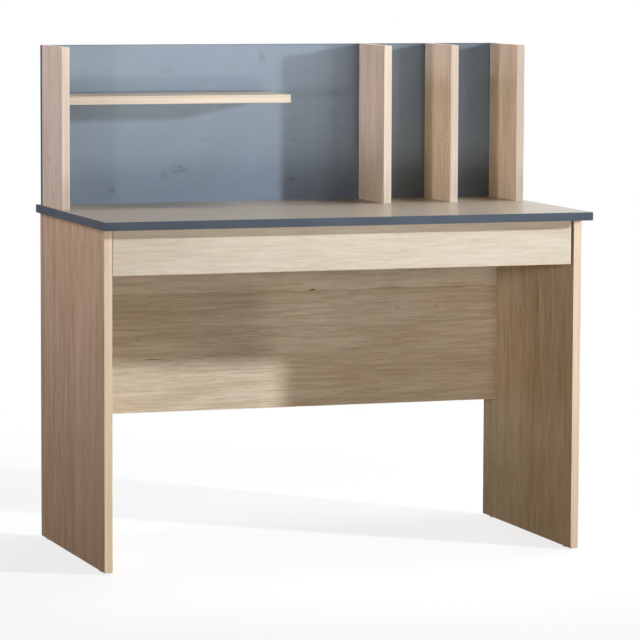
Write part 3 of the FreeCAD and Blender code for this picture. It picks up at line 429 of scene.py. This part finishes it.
def oak(name, axes, tones, plank, offset, contrast, roughness, shine, marks=(), hearts=()):
    """Oak decor paper on a board: planks side by side, streaks, growth lines, pores, cracks, knots.

    Axes are those along and across the grain. A plank is so wide in metres, and the rows of planks are
    shifted by a share of that. Marks and hearts are lists as above.
    """
    tree = new_tree(name)
    place = tree.place()
    along, across = axes
    u, v, w = grain_axes(tree, place, along, across)

    # Each plank is cut from another part of the grain, which sways a little along the board.
    row = tree.math("MULTIPLY_ADD", v, 1.0 / plank, offset)
    chance = tree.node("ShaderNodeTexWhiteNoise", noise_dimensions="1D")
    tree.feed(chance.inputs["W"], tree.math("FLOOR", row))
    draw = chance.outputs["Value"]
    shifted = tree.math("MULTIPLY_ADD", draw, PLANK_SHIFT, u)
    layer = tree.math("MULTIPLY_ADD", draw, PLANK_LAYER, w)
    straight = tree.join(shifted, v, layer)
    sway = tree.noise(straight, grained(1.7, 6.0), 1.0)
    swayed = tree.math("MULTIPLY_ADD", sway, GRAIN_SWAY, v)
    grain = tree.join(shifted, swayed, layer)

    # The grain, from its broad bands to its pores.
    broad = tree.noise(grain, grained(1.0, 9.0))
    streak = tree.noise(grain, grained(3.6, 30.0), 4.0, 0.65)
    lines = tree.noise(grain, grained(10.0, 150.0), 3.0, 0.75)
    fine = tree.noise(grain, grained(18.0, 620.0), 2.0, 0.6)
    pores = tree.noise(grain, grained(42.0, 1500.0), 1.0)

    # Marks and hearts stay at their places on the board, with a ragged outline.
    ragged = tree.stray(tree.noise(place, same(90.0), 3.0, 0.65), OAK_RAGGED)
    board = tree.join(u, tree.math("ADD", v, ragged), w)
    figure = growth_lines(tree, grain, swayed, board, hearts)

    depth = tree.total((broad, 0.50), (streak, 1.05), (lines, 1.55), (fine, 0.40), (figure, 0.24),
                       (draw, 0.22))
    reach = GRAIN_REACH / contrast
    colour = tree.mix(tree.span(depth, GRAIN_MEAN - reach, GRAIN_MEAN + reach), *tones)
    pore = tree.span(pores, 0.60, 0.74)
    colour = tree.mix(tree.math("MULTIPLY", pore, 0.22), colour, OAK_MARK)
    crack = tree.spots(grain, grained(2.2, 45.0), 0.060, 0.10)
    single = [tree.math("MULTIPLY", crack, 0.45)]
    for at_u, at_v, at_w, long, wide, strength in marks:
        spot = tree.mark(board, (at_u, at_v, at_w), (long, wide, MARK_DEPTH))
        single.append(tree.math("MULTIPLY", spot, strength))
    single.append(tree.math("MULTIPLY", joint_line(tree, grain, row, plank), 0.40))
    scars = tree.largest(single)
    colour = tree.mix(scars, colour, OAK_MARK)

    # The decor covers the two broad faces, and the other faces are bare chipboard.
    normal = tree.math("ABSOLUTE", grain_axes(tree, tree.face(), along, across)[2])
    raw = tree.math("LESS_THAN", normal, 0.5)
    chips, chip_height = chipboard(tree, place)
    colour = tree.mix(raw, colour, chips)

    rough = tree.total((streak, 0.10), (pore, 0.12), (raw, 0.35))
    rough = tree.math("ADD", rough, roughness - 0.05)
    height = tree.total((pore, -0.8), (fine, 0.5), (scars, -0.5), (chip_height, raw))
    return tree.surface(colour, rough, tree.bump(height, 0.00012, 0.5), Specular_IOR_Level=shine)


def edging(name, along, tones):
    """Oak coloured edge band: lines along its length and fine pores."""
    tree = new_tree(name)
    u, v, w = grain_axes(tree, tree.place(), along, "X" if along != "X" else "Y")
    grain = tree.join(u, v, w)
    lines = tree.noise(grain, grained(0.9, 210.0), 2.0, 0.55)
    fine = tree.noise(grain, grained(6.0, 700.0))
    pores = tree.noise(grain, grained(55.0, 2100.0), 1.0)
    slow = tree.noise(grain, grained(3.0, 20.0), 1.0)
    depth = tree.total((lines, 0.9), (fine, 0.35), (slow, 0.35))
    colour = tree.mix(tree.span(depth, 0.40, 1.20), *tones)
    pore = tree.span(pores, 0.60, 0.75)
    colour = tree.mix(tree.math("MULTIPLY", pore, 0.18), colour, tones[1])
    rough = tree.math("ADD", tree.total((fine, 0.12), (pore, 0.10)), 0.36)
    height = tree.total((pore, -0.7), (fine, 0.4))
    return tree.surface(colour, rough, tree.bump(height, 0.0001, 0.4), Specular_IOR_Level=0.25)


def cement(name, tones, mark, smudges):
    """Blue-grey decor with the soft clouds, stains and hair lines of smoothed cement."""
    tree = new_tree(name)
    place = tree.place()
    clouds = tree.noise(place, (4.0, 4.0, 5.0), 4.0, 0.6)
    wisps = tree.noise(place, (26.0, 26.0, 34.0), 4.0, 0.6)
    grit = tree.noise(place, same(900.0))
    depth = tree.total((clouds, 0.55), (wisps, 0.65), (grit, 0.12))
    colour = tree.mix(tree.span(depth, 0.16, 1.16), *tones)

    # Random stains and hair lines, and the single ones, all with torn outlines.
    x, y, z = tree.split(place)
    ragged = tree.stray(tree.noise(place, same(80.0), 4.0, 0.7), SLATE_RAGGED)
    torn = tree.join(tree.math("ADD", x, ragged), y, tree.math("SUBTRACT", z, ragged))
    stain = tree.spots(torn, (7.0, 7.0, 11.0), 0.090, 0.16)
    hair = tree.spots(torn, (3.0, 3.0, 60.0), 0.070, 0.10)
    single = [tree.math("MULTIPLY", stain, 0.20)]
    for at_x, at_z, wide, high, strength in smudges:
        spot = tree.mark(torn, (at_x, BACK_FACE_Y, at_z), (wide, MARK_DEPTH, high))
        single.append(tree.math("MULTIPLY", spot, strength))
    broken = tree.span(tree.noise(place, (75.0, 75.0, 130.0), 4.0, 0.7), 0.40, 0.64)
    stains = tree.math("MULTIPLY", tree.largest(single), broken)
    colour = tree.mix(tree.math("MAXIMUM", stains, tree.math("MULTIPLY", hair, 0.15)), colour, mark)

    rough = tree.math("ADD", tree.total((clouds, 0.14), (grit, 0.10), (stain, 0.08)), 0.36)
    height = tree.total((grit, 0.6), (wisps, 0.4), (stain, -0.3))
    return tree.surface(colour, rough, tree.bump(height, 0.00008, 0.4), Specular_IOR_Level=0.25)


def moulded(name, tones, roughness, peel, **constants):
    """Smooth plastic, lacquer or plated metal: slow changes of tone and a fine skin."""
    tree = new_tree(name)
    place = tree.place()
    slow = tree.noise(place, same(14.0))
    skin = tree.noise(place, same(peel))
    depth = tree.total((slow, 0.7), (skin, 0.3))
    colour = tree.mix(tree.span(depth, 0.35, 0.65), *tones)
    rough = tree.math("ADD", tree.total((skin, 0.14), (slow, 0.10)), roughness - 0.12)
    return tree.surface(colour, rough, tree.bump(skin, 0.00005, 0.35), **constants)


def beech(name, tones):
    """Beech dowel: short grain along the pin and small flecks."""
    tree = new_tree(name)
    place = tree.place()
    streak = tree.noise(place, (260.0, 260.0, 60.0), 3.0)
    fleck = tree.noise(place, (900.0, 900.0, 240.0), 1.0)
    depth = tree.total((streak, 0.7), (fleck, 0.4))
    colour = tree.mix(tree.span(depth, 0.35, 0.75), *tones)
    rough = tree.math("ADD", tree.math("MULTIPLY", fleck, 0.2), 0.5)
    return tree.surface(colour, rough, tree.bump(streak, 0.0001, 0.5))


def foil(name, tones):
    """Pale drawer foil with a linen weave and a few slow changes of tone."""
    tree = new_tree(name)
    place = tree.place()
    x, y, z = tree.split(place)
    lengthwise = tree.math("SINE", tree.math("MULTIPLY", tree.math("ADD", x, y), WEAVE))
    upright = tree.math("SINE", tree.math("MULTIPLY", tree.math("SUBTRACT", z, y), WEAVE))
    weave = tree.math("MULTIPLY_ADD", tree.math("MULTIPLY", lengthwise, upright), 0.5, 0.5)
    slow = tree.noise(place, same(9.0), 3.0)
    thread = tree.noise(place, (160.0, 160.0, 900.0))
    depth = tree.total((weave, 0.25), (slow, 0.5), (thread, 0.35))
    colour = tree.mix(tree.span(depth, 0.30, 0.80), *tones)
    rough = tree.math("ADD", tree.total((weave, 0.08), (slow, 0.08)), 0.42)
    return tree.surface(colour, rough, tree.bump(weave, 0.00006, 0.4))


def hardboard(name, tones, fleck):
    """Thin fibre sheet of the drawer bottom: felted fibres in a pale lacquer."""
    tree = new_tree(name)
    place = tree.place()
    fibre = tree.noise(place, grained(130.0, 320.0), 4.0, 0.65)
    slow = tree.noise(place, same(6.0))
    speck = tree.spots(place, same(120.0), 0.22, 0.25)
    depth = tree.total((fibre, 0.7), (slow, 0.4))
    colour = tree.mix(tree.span(depth, 0.35, 0.75), *tones)
    colour = tree.mix(tree.math("MULTIPLY", speck, 0.3), colour, fleck)
    rough = tree.math("ADD", tree.math("MULTIPLY", fibre, 0.2), 0.48)
    return tree.surface(colour, rough, tree.bump(fibre, 0.00012, 0.5))


def dress(material, *names):
    for name in names:
        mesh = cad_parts[name].data
        mesh.materials.clear()
        mesh.materials.append(material)


def dress_oak():
    # Each board takes its own copy of the oak, and its tones carry painted light and painted shade.
    left = oak("oak_left_side", "ZY", LEFT_TONES, plank=0.185, offset=0.016, contrast=1.6,
               roughness=0.50, shine=0.10, marks=LEFT_MARKS)
    right = oak("oak_right_side", "ZY", RIGHT_TONES, plank=0.185, offset=0.708, contrast=1.6,
                roughness=0.50, shine=0.10, marks=RIGHT_MARKS)
    uprights = oak("oak_uprights_painted_light", "ZY", UPRIGHT_PAINTED_LIGHT_TONES, plank=0.4, offset=0.0, contrast=1.2,
                   roughness=0.50, shine=0.12, marks=HUTCH_MARKS, hearts=HUTCH_HEARTS)
    top = oak("oak_desktop_painted_shade", "XY", TOP_PAINTED_SHADE_TONES, plank=0.19, offset=0.35, contrast=0.7,
              roughness=0.30, shine=0.45)
    modesty = oak("oak_modesty_panel", "XZ", MODESTY_TONES, plank=0.177, offset=0.893, contrast=1.5,
                  roughness=0.50, shine=0.15, marks=MODESTY_MARKS)
    front = oak("oak_drawer_front_painted_light", "XZ", FRONT_PAINTED_LIGHT_TONES, plank=0.4, offset=0.5, contrast=0.7,
                roughness=0.48, shine=0.20)
    shelf = oak("oak_shelf_painted_shade", "XY", TOP_PAINTED_SHADE_TONES, plank=0.4, offset=0.0, contrast=0.8,
                roughness=0.45, shine=0.20)
    dress(left, "left_side_panel")
    dress(right, "right_side_panel")
    dress(uprights, "hutch_left_side", "hutch_inner_divider", "hutch_outer_divider", "hutch_right_side")
    dress(top, "desktop_panel")
    dress(modesty, "modesty_panel")
    dress(front, "drawer_front")
    dress(shelf, "hutch_shelf")


def dress_edges():
    lengthwise = edging("oak_edge_x", "X", EDGE_TONES)
    depthwise = edging("oak_edge_y", "Y", EDGE_TONES)
    upright = edging("oak_edge_z", "Z", EDGE_TONES)
    dress(lengthwise, "modesty_bottom_band", "drawer_front_long_bands")
    dress(depthwise, "hutch_top_bands", "shelf_end_band")
    dress(upright, "side_front_bands", "side_back_bands", "drawer_front_end_bands")
    # The shelf and hutch front bands take the darkened copies of the band: painted shade.
    dress(edging("hutch_edge_x_painted_shade", "X", SHELF_EDGE_PAINTED_SHADE_TONES), "shelf_front_band")
    dress(edging("hutch_edge_z_painted_shade", "Z", HUTCH_EDGE_PAINTED_SHADE_TONES), "hutch_front_bands")


def dress_grey():
    dress(cement("grey_board", SLATE_TONES, SLATE_MARK, SMUDGES), "hutch_back_panel")
    trim = moulded("grey_edge", TRIM_TONES, roughness=0.48, peel=1400.0, Specular_IOR_Level=0.03)
    dress(trim, "desktop_front_band", "desktop_back_band", "desktop_left_band", "desktop_right_band")
    dress(trim, "back_panel_top_band", "back_panel_end_bands")


def dress_drawer():
    dress(foil("drawer_foil", FOIL_TONES), "drawer_left_side", "drawer_right_side", "drawer_back")
    dress(hardboard("drawer_sheet", SHEET_TONES, SHEET_SPECK), "drawer_bottom")


def dress_fittings():
    for name, (tones, roughness, peel, metal, nodes) in FITTINGS.items():
        dress(moulded(name, tones, roughness, peel, Metallic=metal), *nodes)
    pins = beech("beech_dowel", BEECH_TONES)
    dress(pins, "desktop_dowels", "modesty_dowels", "shelf_dowels", "drawer_dowels")


def background_share(tree):
    """1 on rays that show the white background: seen directly, in gloss or through a clear piece."""
    path = tree.node("ShaderNodeLightPath")
    seen = tree.math("MAXIMUM", path.outputs["Is Camera Ray"], path.outputs["Is Glossy Ray"])
    return tree.math("MAXIMUM", seen, path.outputs["Is Transmission Ray"])


def add_floor():
    """A pale floor that is white to the camera and keeps a soft shadow near the desk."""
    mesh = bpy.data.meshes.new("floor")
    corners = [(-FLOOR_HALF, -FLOOR_HALF, 0.0), (FLOOR_HALF, -FLOOR_HALF, 0.0),
               (FLOOR_HALF, FLOOR_HALF, 0.0), (-FLOOR_HALF, FLOOR_HALF, 0.0)]
    mesh.from_pydata(corners, [], [(0, 1, 2, 3)])
    floor = bpy.data.objects.new("floor", mesh)
    bpy.context.scene.collection.objects.link(floor)
    tree = new_tree("floor_paper")
    tree.clear()
    pale = tree.node("ShaderNodeBsdfDiffuse", FLOOR_BOUNCE).outputs[0]
    bright = tree.node("ShaderNodeBsdfDiffuse", WHITE).outputs[0]
    glow = tree.node("ShaderNodeEmission", WHITE, WHITE_STRENGTH).outputs[0]
    near, far = FLOOR_FADE
    white = tree.span(tree.length(tree.place()), near, far, FLOOR_WHITE_SHARE, 1.0)
    seen = tree.mix_shaders(white, bright, glow)
    tree.node("ShaderNodeOutputMaterial", tree.mix_shaders(background_share(tree), pale, seen))
    mesh.materials.append(tree.owner)


def add_world():
    world = bpy.data.worlds.new("studio")
    bpy.context.scene.world = world
    tree = Tree(world)
    tree.clear()
    room = tree.node("ShaderNodeBackground", WORLD_COLOUR, WORLD_STRENGTH).outputs[0]
    white = tree.node("ShaderNodeBackground", WHITE, WHITE_STRENGTH).outputs[0]
    tree.node("ShaderNodeOutputWorld", tree.mix_shaders(background_share(tree), room, white))


def spread_evenly(lamp):
    """Keeps a lamp as bright at the far end of the desk as at the near end."""
    tree = Tree(lamp)
    falloff = tree.node("ShaderNodeLightFalloff", 1.0)
    tree.feed(tree.nodes["Emission"].inputs["Strength"], falloff.outputs["Constant"])


def add_lamps():
    for name, (place, aim, width, power, colour, cone) in LAMPS.items():
        data = bpy.data.lights.new(name, "SPOT" if cone else "AREA")
        if cone:
            data.shadow_soft_size = width / 2
            data.spot_size = math.radians(cone)
            data.spot_blend = 1.0
        else:
            data.shape = "DISK"
            data.size = width
        data.energy = power
        data.color = colour
        if name in EVEN_LAMPS:
            spread_evenly(data)
        lamp = bpy.data.objects.new(name, data)
        ray = Vector(aim) - Vector(place)
        lamp.rotation_euler = ray.to_track_quat("-Z", "Y").to_euler()
        lamp.location = place
        lamp.visible_camera = False
        bpy.context.scene.collection.objects.link(lamp)


def add_camera():
    yaw, pitch, roll = (math.radians(angle) for angle in (YAW, PITCH, ROLL))
    ahead = Vector((math.sin(yaw) * math.cos(pitch), math.cos(yaw) * math.cos(pitch), -math.sin(pitch)))
    level = Vector((math.cos(yaw), -math.sin(yaw), 0.0))
    above = level.cross(ahead)
    right = math.cos(roll) * level + math.sin(roll) * above
    up = math.cos(roll) * above - math.sin(roll) * level
    data = bpy.data.cameras.new("photo_camera")
    data.sensor_width = SENSOR_MM
    data.lens = FOCAL_PX / FRAME_PX * SENSOR_MM
    data.clip_end = CLIP_END
    camera = bpy.data.objects.new("photo_camera", data)
    turn = Matrix((right, up, -ahead)).transposed().to_4x4()
    camera.matrix_world = Matrix.Translation(Vector(EYE)) @ turn
    bpy.context.scene.collection.objects.link(camera)
    bpy.context.scene.camera = camera


dress_oak()
dress_edges()
dress_grey()
dress_drawer()
dress_fittings()
add_floor()
add_world()
add_lamps()
add_camera()
bpy.context.scene.view_settings.view_transform = "Standard"
